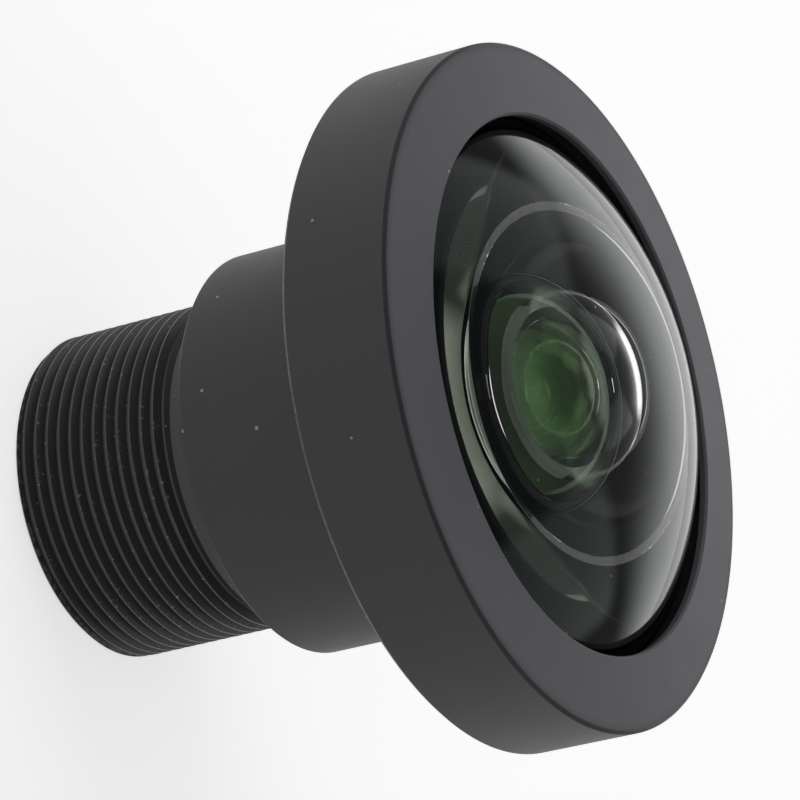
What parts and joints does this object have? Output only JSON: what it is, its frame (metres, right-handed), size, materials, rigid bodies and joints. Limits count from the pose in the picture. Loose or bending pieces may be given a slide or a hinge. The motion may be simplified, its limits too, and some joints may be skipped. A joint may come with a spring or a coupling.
{
  "type": "fisheye lens",
  "caption": "Small fisheye lens with a domed front glass in a broad screwed ring, a plain barrel and a fine threaded stem that screws into a camera's lens holder.",
  "frame": {"origin": "centre of the thread's rear end face, which is also the lowest point of the part", "axes": "+Z along the optical axis, from the rear end of the thread towards the domed front glass; X and Y are free, X passes through the rear ring's spanner slots"},
  "size_m": [0.0246, 0.0246, 0.0225],
  "materials": {
    "anodised_black": "black anodised, satin, fine turning marks",
    "spacer_black": "black anodised, matte",
    "stop_black": "blackened thin sheet",
    "black_film": "matte black light-shield film",
    "seal_rubber": "black, matte",
    "front_glass": "polished, anti-reflection coated",
    "inner_glass": "polished, green anti-reflection coating",
    "filter_glass": "flat, interference coated"
  },
  "bodies": {
    "lens_body": {"barrel": "anodised_black", "front_o_ring": "seal_rubber", "front_element": "front_glass", "front_shield": "black_film", "front_spacer": "spacer_black", "second_retainer": "spacer_black", "second_element": "inner_glass", "second_spacer": "spacer_black", "third_element": "inner_glass", "middle_shield": "black_film", "third_spacer": "spacer_black", "fourth_element": "inner_glass", "stop_spacer": "spacer_black", "aperture_stop": "stop_black", "doublet_front": "inner_glass", "doublet_rear": "inner_glass", "rear_shield": "black_film", "rear_spacer": "spacer_black", "rear_element": "inner_glass", "filter_spacer": "spacer_black"},
    "front_seal": {"front_gasket": "seal_rubber"},
    "front_ring": {"front_ring": "anodised_black"},
    "rear_filter": {"infrared_filter": "filter_glass"},
    "rear_ring": {"rear_retainer": "anodised_black"}
  },
  "joints": [
    {"name": "front_ring_lift", "type": "slide", "parent": "lens_body", "child": "front_seal", "axis": [0, 0, 1], "range_m": [0, 0.003]},
    {"name": "front_ring_turn", "type": "hinge", "parent": "front_seal", "child": "front_ring", "pos_m": [0, 0, 0.0174], "axis": [0, 0, 1], "range_deg": [0, 2160]},
    {"name": "rear_ring_drop", "type": "slide", "parent": "lens_body", "child": "rear_filter", "axis": [0, 0, -1], "range_m": [0, 0.00125]},
    {"name": "rear_ring_turn", "type": "hinge", "parent": "rear_filter", "child": "rear_ring", "pos_m": [0, 0, 0.0018], "axis": [0, 0, -1], "range_deg": [0, 900]}
  ],
  "couplings": [
    {"joint": "front_ring_turn", "follows": "front_ring_lift", "rad_per_m": 12566},
    {"joint": "rear_ring_turn", "follows": "rear_ring_drop", "rad_per_m": 12566}
  ]
}
